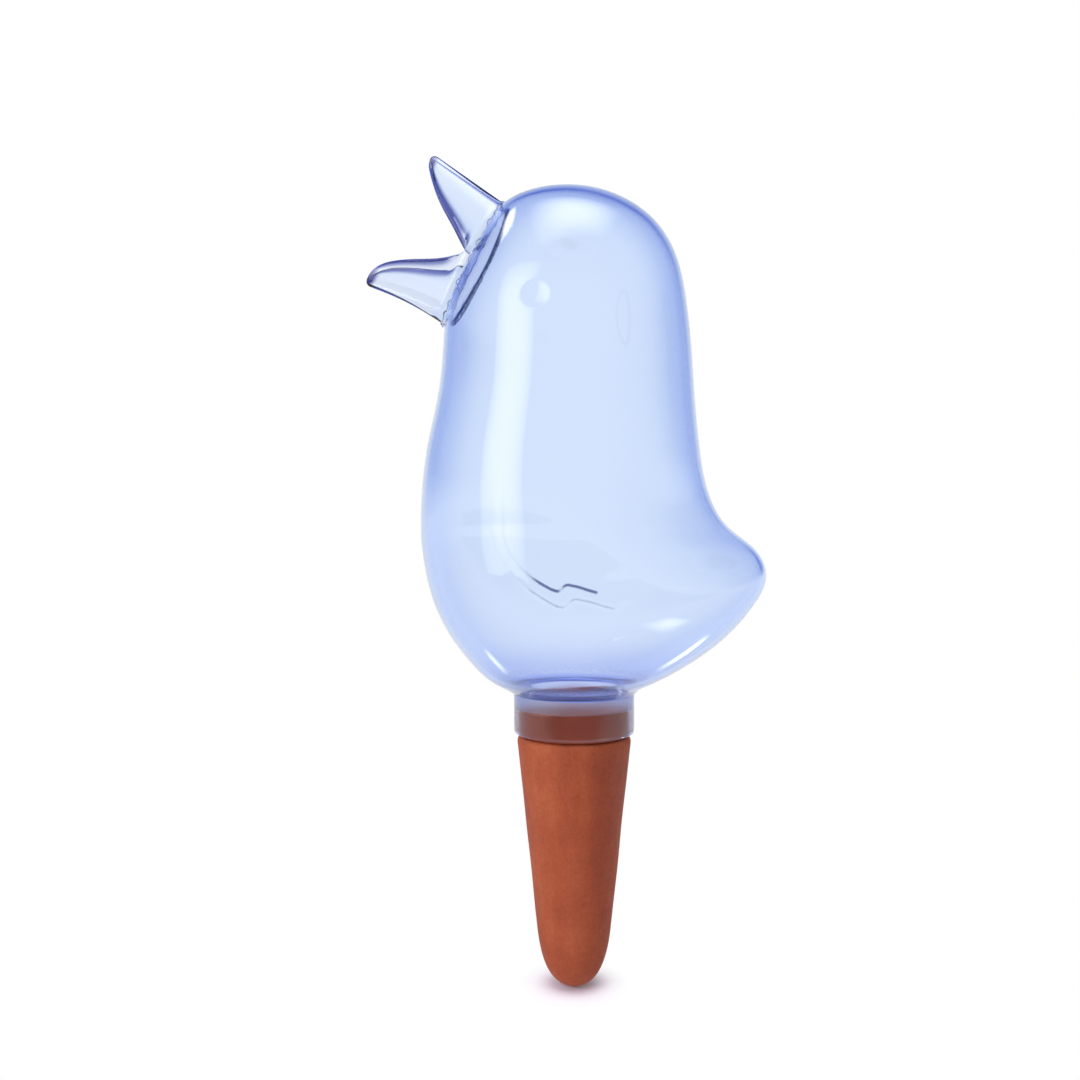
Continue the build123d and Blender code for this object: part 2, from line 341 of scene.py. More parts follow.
# the bird's skin and its normals, on rings that are level at first and then fan out towards the face: rays
# go out to the surface from midway between the breast and the back
def birdSkin(turn):
    low = np.linspace(*bird["footHeights"], bird["footRings"])
    high = np.linspace(low[-1], bird["fanHeight"] - bird["collarTop"], bird["levelRings"])[1:]
    levels = np.concatenate([low, high]) + bird["collarTop"]
    pivot = faceMiddle + (bird["fanHeight"] - faceMiddle[2]) / faceUp[2] * faceUp
    fan = np.linspace(0, np.pi / 2 - faceTilt, bird["fanRings"])[1:]
    starts = np.concatenate([
        np.stack([np.full_like(levels, bird["probeStart"]), np.zeros_like(levels), levels], axis=1),
        np.repeat(pivot[None], len(fan), axis=0),
    ])
    slopes = np.concatenate([np.zeros_like(levels), fan])
    forward = np.stack([np.cos(slopes), np.zeros_like(slopes), np.sin(slopes)], axis=1)
    reach = np.linspace(0, bird["probeLength"], bird["probeSteps"])
    hit = outsideBird(starts[:, None] + reach[:, None] * forward[:, None]) < 0
    entry = reach[np.argmax(hit, axis=1)]
    leave = reach[len(reach) - 1 - np.argmax(hit[:, ::-1], axis=1)]
    centre = starts + ((entry + leave) / 2)[:, None] * forward
    ray = np.cos(turn)[None, :, None] * forward[:, None] + np.sin(turn)[None, :, None] * faceAcross
    skin = centre[:, None] + reachOfBird(centre[:, None], ray)[..., None] * ray
    sideways = np.roll(skin, -1, axis=1) - np.roll(skin, 1, axis=1)
    normal = np.cross(sideways, np.gradient(skin, axis=0))
    return skin, normal / np.linalg.norm(normal, axis=-1, keepdims=True)


# profile of the neck: ledge, bore with the seal's stretch, foot and outside of the collar
def neckProfile():
    ledge, bore, collar = bird["ledgeRadius"], bird["boreRadius"], bird["collarRadius"]
    corners = [bird["floorEdge"], (ledge, bird["ledgeTop"]), (ledge, bird["ledgeFoot"])]
    corners += [(bore, bird[key]) for key in ("ledgeFoot", "sealTop", "sealFoot", "collarFoot")]
    corners += [(collar, bird["collarFoot"]), (collar, bird["collarFootEnd"])]
    corners += [(collar, bird["collarTop"] - tuck) for tuck in bird["collarTuck"]]
    return roundedPath(corners, bird["neckRounding"])


# what the finish reads: how much of each face the seal touches and, at each point, the distance from the
# wing's edge, the strength of the painted shade line along it, the frost and the strength of painted shade
def birdValues(rings, skin, neck):
    x, z = skin[..., 0], skin[..., 2]
    outside = slice(len(skin))
    farFlank = skin[..., 1] > 0
    edge = np.full(rings.shape[:2], bird["offWing"])
    edge[outside] = insideWing(x, z) / np.where(farFlank, bird["farBreadth"], 1.0)
    # painted shade line along the wing's edge: broken between the feather ends, gone towards the tail,
    # thinner higher up
    place, half = bird["lineBreak"]
    lineShade = 1 - bird["breakDepth"] * np.exp(-(((x - place) / half) ** 2))
    lineShade *= 1 - easedStep(x, *bird["lineEnd"])
    lineShade *= 1 - bird["lineThinning"] * easedStep(z, *bird["lineThins"])
    fade = np.zeros(rings.shape[:2])
    fade[outside] = wingFade(skin) * lineShade * np.where(farFlank, 1.0, bird["nearShare"])
    height = rings[..., 2]
    boreWide = bird["boreRadius"] + bird["boreMargin"][0]
    boreTop = bird["ledgeFoot"] - bird["boreMargin"][1]
    inBore = (height < boreTop) & (np.hypot(rings[..., 0], rings[..., 1]) < boreWide)
    lined = inBore & (height < bird["sealTop"]) & (height > bird["sealFoot"])
    bare = inBore & (height > bird["sealTop"])
    ledgeWide = bird["floorEdge"][0] + bird["ledgeMargin"]
    onLedge = np.zeros(rings.shape[:2])
    onLedge[-len(neck) :] = (neck[:, 0, None] < ledgeWide) & (neck[:, 1, None] > boreTop)
    onFloor = np.exp(-(((height - bird["frostHeight"]) / bird["frostSpread"]) ** 2))
    onFloor[outside] = 0
    frost = bare + bird["frostShare"] * np.maximum(onLedge, onFloor)
    low = np.exp(-(((height - bird["shadeHeight"]) / bird["shadeSpread"]) ** 2))
    # painted shade: darker blue on the ledge, in the bare bore and low in the bulb
    paintedShade = bird["ledgeShade"] * onLedge + bird["boreShade"] * bare + bird["bulbFloorShade"] * low
    values = {"wingEdge": edge, "wingFade": fade, "frost": frost, "paintedShade": paintedShade}
    return (bird["sealTouch"] * lined).ravel(), values


# bird's closed wall: rings from the collar over the outside to the hole in the face, and back down inside
def birdRings():
    turn = np.linspace(0, 2 * np.pi, bird["columns"], endpoint=False)
    turn = turn + bird["crowding"] * np.sin(2 * turn)  # closer columns on the flanks
    skin, normal = birdSkin(turn)
    relief = birdRelief(skin)
    outer = skin + relief[..., None] * normal
    inner = skin + (relief - bird["wall"])[..., None] * normal
    out = (inner - faceMiddle) @ faceOut + bird["faceWall"]
    inner = inner - np.maximum(out, 0)[..., None] * faceOut  # flat behind the face
    long, wide = bird["holeHalf"]
    rim = outer[-1] - faceMiddle
    angle = np.arctan2(rim[:, 1] / wide, rim @ faceUp / long)
    share = np.linspace(0, 1, bird["faceRings"])[1:, None, None]

    def toHole(edge, depth):
        hole = fromFace(-depth, long * np.cos(angle), wide * np.sin(angle))
        return edge[None] * (1 - share) + hole[None] * share

    outerFace = toHole(outer[-1], 0.0)
    innerFace = toHole(inner[-1], bird["faceWall"])[::-1]
    neck = neckProfile()
    firstInner = np.argmax(inner[:, :, 2].min(axis=1) > bird["innerFloor"])
    rings = np.concatenate([outer, outerFace, innerFace, inner[firstInner:][::-1], latheRings(neck, turn)])
    wetted, values = birdValues(rings, skin, neck)
    return rings, wetted, values


# beak: mandibles as open troughs, in mm from the face; rims are points of reach out of it and height along it
beak = {
    "upperLength": 22.1,
    "lowerLength": 22.6,
    "reach": 22.2,  # the ridge, the keel and the width change over this length
    "half": 17.0,
    "upperRise": 3.2,
    "keelArch": 0.8,
    "baseWidth": 8.6,
    "waist": 3.0,
    "waistWidth": 6.5,
    "tipWidth": 3.2,
    "tipRound": 1.6,
    "tipDrop": 1.2,
    "wall": 1.25,
    "keelWall": 0.8,
    "leastHalf": 0.1,
    "gape": (2.8, 1.4),
    "opening": 2.0,  # the rim takes its full shape over this length past the gape
    "upperRim": [
        (3.4, 2.6), (5.4, 4.2), (9.7, 7.2), (14.1, 10.1), (17.8, 13.0), (20.4, 15.7), (21.7, 17.6),
    ],
    "lowerRim": [
        (3.3, 0.0), (4.6, -1.6), (8.2, -4.2), (12.7, -6.4), (17.2, -8.7), (20.4, -11.0), (22.0, -13.2),
    ],
    "rimBead": 0.6,
    "beadStart": 0.72,
    "rimBulge": 0.4,
    "bulgeMost": 1.8,
    "flange": 0.7,
    "plugHalf": (16.05, 7.65),
    "plugDepth": 0.95,
    "throatHalf": (15.6, 7.2),
    # painted shade: darker blue at the tip, along the rim past the gape, on the ridge above and all over
    # below
    "tipShade": (2.4, 0.5),
    "rimShade": (0.5, 4.0),
    "rimShadeStart": 0.88,
    "ridgeShade": 0.45,
    "ridgeShadeEdge": (0.04, 0.14),
    "lowerShade": 0.04,
    # grid
    "baseRows": 14,
    "rows": 240,
    "columns": 56,
    "crowding": 1.2,
    "rimSteps": 6,
    "rimSamples": 400,
    "crease": 50,
}


# one mandible: ellipse of the beak at each n, kept on the far side of the rim; side is 1 above, -1 below
def mandible(side):
    length = beak["upperLength"] if side > 0 else beak["lowerLength"]
    gape, gapeUp = beak["gape"]
    s = np.linspace(0, np.pi / 2, beak["rows"])
    n = np.concatenate([np.linspace(0, gape, beak["baseRows"])[:-1], gape + (length - gape) * np.sin(s)])
    along = n / beak["reach"]
    rounding = np.clip((n - length + beak["tipRound"]) / beak["tipRound"], 0, 1)
    drop = beak["tipDrop"] * (1 - np.sqrt(np.maximum(1 - rounding**2, 0)))
    top = beak["half"] + beak["upperRise"] * along
    bottom = beak["keelArch"] * np.sin(np.pi * np.minimum(along, 1)) - beak["half"]
    middle = (top + bottom) / 2
    crest = (top - bottom) / 2 - drop  # from the middle to the ridge or keel
    narrow = (beak["waistWidth"] - beak["tipWidth"]) * along
    flare = (beak["baseWidth"] - beak["waistWidth"]) * np.maximum(1 - n / beak["waist"], 0) ** 2
    half = beak["waistWidth"] - narrow + flare
    rimPoints = [beak["gape"], *(beak["upperRim"] if side > 0 else beak["lowerRim"])]
    rimPoints.append((length, (middle + side * crest)[-1]))
    rimCurve = smoothThrough(rimPoints, beak["rimSamples"])
    rim = side * (np.interp(n, rimCurve[:, 0], rimCurve[:, 1]) - middle)
    rim = np.where(n <= gape, side * (gapeUp - middle), rim)
    rim = np.minimum(rim, crest)
    q = np.linspace(-1, 1, beak["columns"])
    q = np.sign(q) * np.abs(q) ** beak["crowding"]  # closer columns at the ridge and keel

    def trough(crest, half):
        turn = np.arccos(np.clip(rim / crest, -1, 1))[:, None] * q
        up = middle[:, None] + side * crest[:, None] * np.cos(turn)
        return fromFace(n[:, None], up, half * np.sin(turn))

    outer = trough(crest, half[:, None])
    opened = easedStep(n, gape, gape + beak["opening"])
    thinner = (beak["wall"] - beak["keelWall"]) * opened if side < 0 else 0.0
    innerCrest = np.maximum(crest - beak["wall"] + thinner, rim)
    bead = beak["rimBead"] * opened[:, None] * easedStep(np.abs(q), beak["beadStart"], 1)[None, :]
    inner = trough(innerCrest, np.maximum(half[:, None] - beak["wall"] - bead, beak["leastHalf"]))
    # painted shade: darker blue at the tip, along the rim past the gape and on the ridge above, faint below
    before, last = beak["tipShade"]
    tip = easedStep(n, length - before, length - last)[:, None]
    first, full = beak["rimShade"]
    rimmed = easedStep(n, gape + first, gape + full)[:, None]
    rimmed = rimmed * easedStep(np.abs(q), beak["rimShadeStart"], 1)
    ridge = beak["ridgeShade"] * (1 - easedStep(np.abs(q), *beak["ridgeShadeEdge"]))
    paintedShade = np.maximum(np.maximum(tip, rimmed), ridge if side > 0 else beak["lowerShade"])
    return n, outer, inner, paintedShade


# both mandibles, the flange between them and the face, and the plug through the face, as one closed wall
def beakSurface():
    points, faces, paintedShades, count = [], [], [], 0

    def addGrid(grid, paintedShade):
        nonlocal count
        rows, columns = grid.shape[:2]
        points.append(grid.reshape(-1, 3))
        faces.append(gridQuads(rows, columns, closedColumns=False, first=count))
        paintedShades.append(np.broadcast_to(paintedShade, (rows, columns)).ravel())
        count += rows * columns

    baseRing, innerRing = [], []
    bulge = beak["rimBulge"] * np.sin(np.linspace(0, np.pi, beak["rimSteps"]))[None, :, None]
    share = np.linspace(0, 1, beak["rimSteps"])[None, :, None]
    for side in (1, -1):
        n, outer, inner, paintedShade = mandible(side)
        opened = np.argmax(n >= beak["gape"][0])
        firstInner = np.argmax(n >= beak["flange"])
        addGrid(outer, paintedShade)
        addGrid(inner[firstInner:], paintedShade[firstInner:])
        opening = easedStep(n[opened:] - n[opened], 0, beak["opening"])[:, None, None]
        for edge in (0, -1):
            outside = outer[opened:, edge][:, None]
            inside = inner[opened:, edge][:, None]
            gap = np.linalg.norm(outside - inside, axis=-1, keepdims=True)
            swell = np.minimum(gap, beak["bulgeMost"]) * opening * bulge
            rim = outside * (1 - share) + inside * share - side * swell * faceUp
            addGrid(rim, paintedShade[opened:, edge][:, None])
        baseRing.append(outer[0, ::side])
        innerRing.append(inner[firstInner, ::side])
    baseRing = np.concatenate(baseRing)
    innerRing = np.concatenate(innerRing)
    offset = baseRing - faceMiddle
    angle = np.arctan2(offset[:, 1] / beak["baseWidth"], offset @ faceUp / beak["half"])
    path = [("plugHalf", 0.0), ("plugHalf", -beak["plugDepth"]), ("throatHalf", -beak["plugDepth"])]
    rings = [baseRing]
    for name, depth in path:
        long, wide = beak[name]
        rings.append(fromFace(depth, long * np.cos(angle), wide * np.sin(angle)))
    rings.append(innerRing)
    rings = np.stack(rings)
    addGrid(np.concatenate([rings, rings[:, :1]], axis=1), 0.0)  # flange and plug
    return np.concatenate(points), np.concatenate(faces), {"paintedShade": np.concatenate(paintedShades)}


# bond: two wavy beads of adhesive, one behind the face round the plug and one squeezed out round the flange
bond = {
    "beads": [
        {"depth": -0.9, "half": (16.35, 7.95), "size": 0.3, "waves": (7, 17, 29)},
        {"depth": 0.3, "half": (17.3, 8.95), "size": 0.36, "waves": (9, 19, 31)},
    ],
    "swell": [(0.5, 0.4), (0.35, 1.3), (0.3, 0.0)],  # size and phase of the waves in the radius
    "swellShare": 0.22,
    "wander": [(0.18, 2.0), (0.15, 0.7)],  # and of the last two in the depth
    "turns": 420,
    "sides": 14,
}


# bead: small circle carried round an ellipse, its radius swaying with three sines and its depth with two
def bondSurface():
    points, faces, count = [], [], 0
    turn = np.linspace(0, 2 * np.pi, bond["turns"], endpoint=False)[:, None]
    side = np.linspace(0, 2 * np.pi, bond["sides"], endpoint=False)[None, :]
    for bead in bond["beads"]:
        size = bead["size"] * (1 + bond["swellShare"] * sines(turn, bead["waves"], bond["swell"]))
        wander = sines(turn, bead["waves"][1:], bond["wander"])
        depth = bead["depth"] + wander + size * np.sin(side)
        long, wide = bead["half"]
        u = (long + size * np.cos(side)) * np.cos(turn)
        y = (wide + size * np.cos(side)) * np.sin(turn)
        points.append(fromFace(depth, u, y).reshape(-1, 3))
        faces.append(gridQuads(bond["turns"], bond["sides"], closedRows=True, first=count))
        count += bond["turns"] * bond["sides"]
    return np.concatenate(points), np.concatenate(faces)


# seal: brown sleeve, its top edge a little uneven
sleeve = {
    "inner": 12.84,
    "outer": 13.84,
    "bottom": 0.6,
    "top": 6.8,
    "rounding": [0.25, 0.25, 0.2, 0.3, 0.25],
    "lean": 0.75,
    "waves": (3, 7),
    "sway": [(0.1, 0.0), (0.1, 1.0)],  # size and phase of each wave
    "columns": 192,
}


# ring profile carried round the axis; points near the top rise and fall with the turn
def sleeveRings():
    turn = np.linspace(0, 2 * np.pi, sleeve["columns"], endpoint=False)
    inner, outer, bottom, top = [sleeve[key] for key in ("inner", "outer", "bottom", "top")]
    middle = (bottom + top) / 2
    corners = [(inner, middle), (inner, bottom), (outer, bottom), (outer, middle)]
    corners += [(outer, top), (inner, top), (inner, middle)]
    profile = roundedPath(corners, sleeve["rounding"])[:-1]
    rings = latheRings(profile, turn)
    uneven = sleeve["lean"] * np.cos(turn) + sines(turn, sleeve["waves"], sleeve["sway"])
    share = np.clip((profile[:, 1] - middle) / (top - middle), 0, 1)
    rings[..., 2] += share[:, None] * uneven
    return rings


# clay cone: spigot, shoulder, tapered flank and round nose, with the blind bore inside
clay = {
    "spigotRadius": 12.8,
    "spigotHeight": 7.0,
    "edgeRound": 0.4,
    "rootRound": 0.2,
    "shoulder": 14.45,
    "shoulderRound": 2.0,
    "length": 62.8,
    "taper": 6.2,
    "noseHeight": 13.8,
    "noseFullness": 9.0,
    "noseFlat": 5.6,
    "wall": 4.4,
    "noseWall": 6.0,
    "unevenness": 0.05,
    "swells": [(1.0, 2, 9.0, 0.0), (0.7, 3, -5.0, 1.0), (0.5, 5, 3.0, 0.0)],  # size, waves, slant and phase
    "swellTop": -1.5,  # the flank is uneven below this height
    "leastRadius": 2.0,
    "columns": 192,
    "noseRows": 40,
    "flankRows": 60,
    "roundSteps": 8,
}


# profile carried round the axis, with slow sines for the pressed clay's unevenness
def clayRings():
    turn = np.linspace(0, 2 * np.pi, clay["columns"], endpoint=False)
    slope = math.tan(math.radians(clay["taper"]))
    noseDepth = clay["length"] - clay["noseHeight"]
    noseRadius = clay["shoulder"] - noseDepth * slope
    t = np.linspace(0, 1, clay["noseRows"])[:, None]

    def curve(a, b, c, d):  # cubic from a to d, pulled to b and c
        a, b, c, d = np.array(a), np.array(b), np.array(c), np.array(d)
        return (1 - t) ** 3 * a + 3 * t * (1 - t) ** 2 * b + 3 * t**2 * (1 - t) * c + t**3 * d

    handle = noseDepth + clay["noseFullness"]
    nose = curve(
        (noseRadius, -noseDepth),
        (clay["shoulder"] - handle * slope, -handle),
        (clay["noseFlat"], -clay["length"]),
        (0.0, -clay["length"]),
    )
    boreEnd = noseRadius - clay["wall"]
    boreDepth = clay["length"] - clay["noseWall"]
    well = curve((0.0, -boreDepth), (boreEnd, -boreDepth), (boreEnd, -boreDepth), (boreEnd, -noseDepth))
    height = clay["spigotHeight"]
    boreTop = clay["shoulder"] + height * slope - clay["wall"]
    spigot = clay["spigotRadius"]
    corners = [(boreEnd, -noseDepth), (boreTop, height), (spigot, height), (spigot, 0.0)]
    corners += [(clay["shoulder"], 0.0), (noseRadius, -noseDepth)]
    rounding = [clay["edgeRound"], clay["edgeRound"], clay["rootRound"], clay["shoulderRound"]]
    top = roundedPath(corners, rounding, clay["roundSteps"])
    long = np.linspace(0, 1, clay["flankRows"])[1:-1, None]
    flank = top[-2] * (1 - long) + top[-1] * long
    profile = np.concatenate([well, top[1:-1], flank, nose])
    rings = latheRings(profile, turn)
    z = profile[:, 1, None]
    sway = 0
    for size, waves, slant, phase in clay["swells"]:
        sway = sway + size * np.sin(waves * turn + z / slant + phase)
    outside = np.arange(len(profile)) >= len(well) + len(top) - 2
    onFlank = (profile[:, 1] < clay["swellTop"]) & outside
    radius = np.maximum(profile[:, 0, None], clay["leastRadius"])
    rings[..., :2] *= (1 + clay["unevenness"] * sway * onFlank[:, None] / radius)[..., None]
    return rings


# a socket in a node tree: arithmetic on it adds Math nodes, and node() adds any other node
class Wire:
    def __init__(self, tree, socket=None):
        self.tree = tree
        self.socket = socket

    # node from its type, the values or wires of its sockets and its settings; gives back one output
    def node(self, kind, inputs=None, output=0, **settings):
        node = self.tree.nodes.new(kind)
        for key, value in settings.items():
            setattr(node, key, value)
        for key, value in (inputs or {}).items():
            if isinstance(value, Wire):
                self.tree.links.new(value.socket, node.inputs[key])
            else:
                node.inputs[key].default_value = value
        return Wire(self.tree, node.outputs[output] if len(node.outputs) else None)

    def math(self, operation, first, second):
        return self.node("ShaderNodeMath", {0: first, 1: second}, operation=operation)

    def __add__(self, other):
        return self.math("ADD", self, other)

    def __sub__(self, other):
        return self.math("SUBTRACT", self, other)

    def __rsub__(self, other):
        return self.math("SUBTRACT", other, self)

    def __mul__(self, other):
        return self.math("MULTIPLY", self, other)

    __radd__ = __add__
    __rmul__ = __mul__


# empty node tree of a material or world
def emptyTree(owner):
    owner.use_nodes = True
    owner.node_tree.nodes.clear()
    return Wire(owner.node_tree)


# noise in the object's own coordinates, scale in lumps per metre
def noise(tree, scale, detail):
    where = tree.node("ShaderNodeTexCoord", output="Object")
    return tree.node("ShaderNodeTexNoise", {"Vector": where, "Scale": scale, "Detail": detail}, "Fac")


# colours that follow a value, from stops of value and colour
def colourRamp(value, stops):
    colours = value.node("ShaderNodeValToRGB", {"Fac": value}, "Color")
    elements = colours.socket.node.color_ramp.elements
    while len(elements) < len(stops):
        elements.new(0.5)
    for element, (place, colour) in zip(elements, stops):
        element.position = place
        element.color = (*colour, 1)
    return colours


# value carried from one span to another, and held at the ends
def between(value, span, to=(0.0, 1.0), interpolation="LINEAR"):
    sockets = {"Value": value, "From Min": span[0], "From Max": span[1], "To Min": to[0], "To Max": to[1]}
    return value.node("ShaderNodeMapRange", sockets, interpolation_type=interpolation)


# one colour times another
def timesColour(first, second):
    settings = {"data_type": "RGBA", "blend_type": "MULTIPLY"}
    return first.node("ShaderNodeMix", {0: 1.0, 6: first, 7: second}, 2, **settings)


# a value that makePiece kept, 0 where the piece has none
def keptValue(tree, name):
    return tree.node("ShaderNodeAttribute", output="Fac", attribute_name=name)


# clear plastics: what they share, then each one's own look
plastic = {
    "lineHalf": 0.35,  # mm on either side of the wing's edge, for the painted shade line
    "lineFull": 0.6,  # strength at which the painted shade line has its full colour
    "gloss": 0.01,
    "dullScale": 400.0,
    "frostScale": 1200.0,
    "frost": (0.18, 0.4),  # roughness of the frost and how much it varies
}
birdLook = {
    "tint": (0.02, 0.41, 0.978),
    "density": 160.0,
    "ior": 1.5,
    "ripple": 0.02,
    "rippleScale": 45.0,
    "wingStep": 0.14,
    # colour of the painted shade line along the wing's edge
    "edgeShadeColour": (0.02, 0.02, 0.1),
    "dullness": 0.03,
    # painted shade towards grazing angles, by how edge-on the surface is seen
    "edgeOn": [(0.3, (1, 1, 1)), (0.5, (0.9, 0.92, 1.0)), (0.8, (0.85, 0.88, 0.99))],
    # colour of the painted shade where the piece marks it
    "paintedShade": (0.08, 0.15, 0.82),
}
beakLook = {
    "tint": (0.03, 0.4, 0.95),
    "density": 155.0,
    "ior": 1.45,
    "ripple": 0.03,
    "rippleScale": 45.0,
    "wingStep": 0.0,
    "edgeShadeColour": (1, 1, 1),
    "dullness": 0.03,
    # painted shade towards grazing angles, by how edge-on the surface is seen
    "edgeOn": [(0.4, (1, 1, 1)), (0.9, (0.7, 0.75, 1.0))],
    # colour of the painted shade where the piece marks it
    "paintedShade": (0.06, 0.08, 0.4),
}
bondLook = {
    "tint": (0.1, 0.4, 0.9),
    "density": 30.0,
    "ior": 1.14,
    "ripple": 0.2,
    "rippleScale": 300.0,
    "wingStep": 0.0,
    "edgeShadeColour": (1, 1, 1),
    "dullness": 0.06,
    # painted shade towards grazing angles, by how edge-on the surface is seen
    "edgeOn": [(0.4, (1, 1, 1)), (0.9, (0.8, 0.85, 1.0))],
    "paintedShade": (1, 1, 1),
}


# clear plastic: refracting wall with a body tint, faint ripples, a fine painted shade line along the wing's
# edge, painted shade towards grazing angles and where the piece marks it, a little dullness in patches and
# frost;
# light goes straight on through part of what the seal touches
def clearPlastic(name, look):
    material = bpy.data.materials.new(name)
    tree = emptyTree(material)
    half = plastic["lineHalf"]
    # painted shade: a dark line along the wing's edge, where the relief's step shows dark
    step = between(keptValue(tree, "wingEdge"), (-half, half), interpolation="SMOOTHSTEP")
    line = step * (1 - step) * keptValue(tree, "wingFade") * 4  # up to 1 on the edge, 0 beside it
    # painted shade: the base colour darkens towards grazing angles
    edgeOn = tree.node("ShaderNodeLayerWeight", {"Blend": 0.5}, "Facing")
    grazingShade = colourRamp(edgeOn, look["edgeOn"])
    darker = colourRamp(keptValue(tree, "paintedShade"), [(0.0, (1, 1, 1)), (1.0, look["paintedShade"])])
    edgeShade = colourRamp(line, [(0.0, (1, 1, 1)), (plastic["lineFull"], look["edgeShadeColour"])])
    height = noise(tree, look["rippleScale"], 1.0) * look["ripple"] + line * look["wingStep"]
    relief = {"Strength": 1.0, "Distance": mm, "Height": height}
    dull = noise(tree, plastic["dullScale"], 2.0) * look["dullness"] + plastic["gloss"]
    least, varied = plastic["frost"]
    frosted = noise(tree, plastic["frostScale"], 3.0) * varied + least
    sockets = {
        "Base Color": timesColour(timesColour(grazingShade, darker), edgeShade),
        "Roughness": dull + keptValue(tree, "frost") * frosted,
        "IOR": look["ior"],
        "Transmission Weight": 1.0,
        "Normal": tree.node("ShaderNodeBump", relief, "Normal"),
    }
    surface = tree.node("ShaderNodeBsdfPrincipled", sockets, "BSDF")
    straight = tree.node("ShaderNodeBsdfTransparent")
    surface = tree.node("ShaderNodeMixShader", {0: keptValue(tree, "wetted"), 1: surface, 2: straight})
    tint = {"Color": (*look["tint"], 1), "Density": look["density"]}
    volume = tree.node("ShaderNodeVolumeAbsorption", tint, "Volume")
    tree.node("ShaderNodeOutputMaterial", {"Surface": surface, "Volume": volume})
    return material


clayLook = {
    "tones": [(0.36, (0.335, 0.059, 0.015)), (0.5, (0.435, 0.092, 0.028)), (0.64, (0.525, 0.14, 0.052))],
    "toneShares": (0.4, 0.4, 0.2),  # of mottle, streaks and grain
    "specks": [(0.64, (1, 1, 1)), (0.78, (0.86, 0.82, 0.8))],
    "mottleScale": 90.0,
    "streakScale": 130.0,
    "streakSquash": (1, 1, 0.2),  # height counts for less, so that streaks stand upright
    "grainScale": 1400.0,
    "speckScale": 650.0,
    "roughness": (0.62, 0.2),
    "specular": 0.4,
    "relief": 0.0003,
    "reliefStrength": 0.35,
    "reliefShares": (0.6, 0.4),  # of grain and specks
}


# fired clay: warm mottling, upright streaks, dark grains, dull and gritty
def firedClay(name, look):
    material = bpy.data.materials.new(name)
    tree = emptyTree(material)
    mottle = noise(tree, look["mottleScale"], 4.0)
    grain = noise(tree, look["grainScale"], 2.0)
    speck = noise(tree, look["speckScale"], 1.0)
    where = tree.node("ShaderNodeTexCoord", output="Object")
    upright = tree.node("ShaderNodeVectorMath", {0: where, 1: look["streakSquash"]}, operation="MULTIPLY")
    streaks = {"Vector": upright, "Scale": look["streakScale"], "Detail": 3.0}
    streak = tree.node("ShaderNodeTexNoise", streaks, "Fac")
    shares = look["toneShares"]
    tone = colourRamp(mottle * shares[0] + streak * shares[1] + grain * shares[2], look["tones"])
    shares = look["reliefShares"]
    height = grain * shares[0] + speck * shares[1]
    relief = {"Strength": look["reliefStrength"], "Distance": look["relief"], "Height": height}
    least, varied = look["roughness"]
    sockets = {
        "Base Color": timesColour(tone, colourRamp(speck, look["specks"])),
        "Roughness": least + mottle * varied,
        "Specular IOR Level": look["specular"],
        "Normal": tree.node("ShaderNodeBump", relief, "Normal"),
    }
    surface = tree.node("ShaderNodeBsdfPrincipled", sockets, "BSDF")
    tree.node("ShaderNodeOutputMaterial", {"Surface": surface})
    return material


sealLook = {
    "tones": [(0.3, (0.27, 0.028, 0.004)), (0.72, (0.34, 0.042, 0.009))],
    "smearScale": 160.0,
    "roughness": (0.6, 0.2),
    "specular": 0.1,
}


# seal: dull brown rubber with faint smears
def brownSeal(name, look):
    material = bpy.data.materials.new(name)
    tree = emptyTree(material)
    smear = noise(tree, look["smearScale"], 3.0)
    least, varied = look["roughness"]
    sockets = {
        "Base Color": colourRamp(smear, look["tones"]),
        "Roughness": least + smear * varied,
        "Specular IOR Level": look["specular"],
    }
    surface = tree.node("ShaderNodeBsdfPrincipled", sockets, "BSDF")
    tree.node("ShaderNodeOutputMaterial", {"Surface": surface})
    return material


blueClear = clearPlastic("blueClear", birdLook)
beakClear = clearPlastic("beakClear", beakLook)
adhesiveClear = clearPlastic("adhesiveClear", bondLook)
terracotta = firedClay("terracotta", clayLook)
sealBrown = brownSeal("sealBrown", sealLook)
print("finishes made")

rings, wetted, values = birdRings()
quads = gridQuads(*rings.shape[:2], closedRows=True)
birdWall = makePiece(
    "birdWall", rings, quads, "reservoir", "body_shell", "blue_clear", blueClear,
    wetted=wetted, values=values, crease=bird["crease"],
)
points, faces, values = beakSurface()
birdBeak = makePiece(
    "birdBeak", points, faces, "reservoir", "beak", "beak_clear", beakClear,
    values=values, crease=beak["crease"],
)
beakBond = makePiece("beakBond", *bondSurface(), "reservoir", "beak_bond", "adhesive_clear", adhesiveClear)
for clearPiece in (birdWall, birdBeak, beakBond):
    clearPiece.visible_shadow = False
rings = sleeveRings()
quads = gridQuads(*rings.shape[:2], closedRows=True)
makePiece("sealSleeve", rings, quads, "seal", "sealing_sleeve", "seal_brown", sealBrown)
rings = clayRings()
quads = gridQuads(*rings.shape[:2])
makePiece("clayCone", rings, quads, "stake", "clay_cone", "terracotta", terracotta)
print("pieces made")

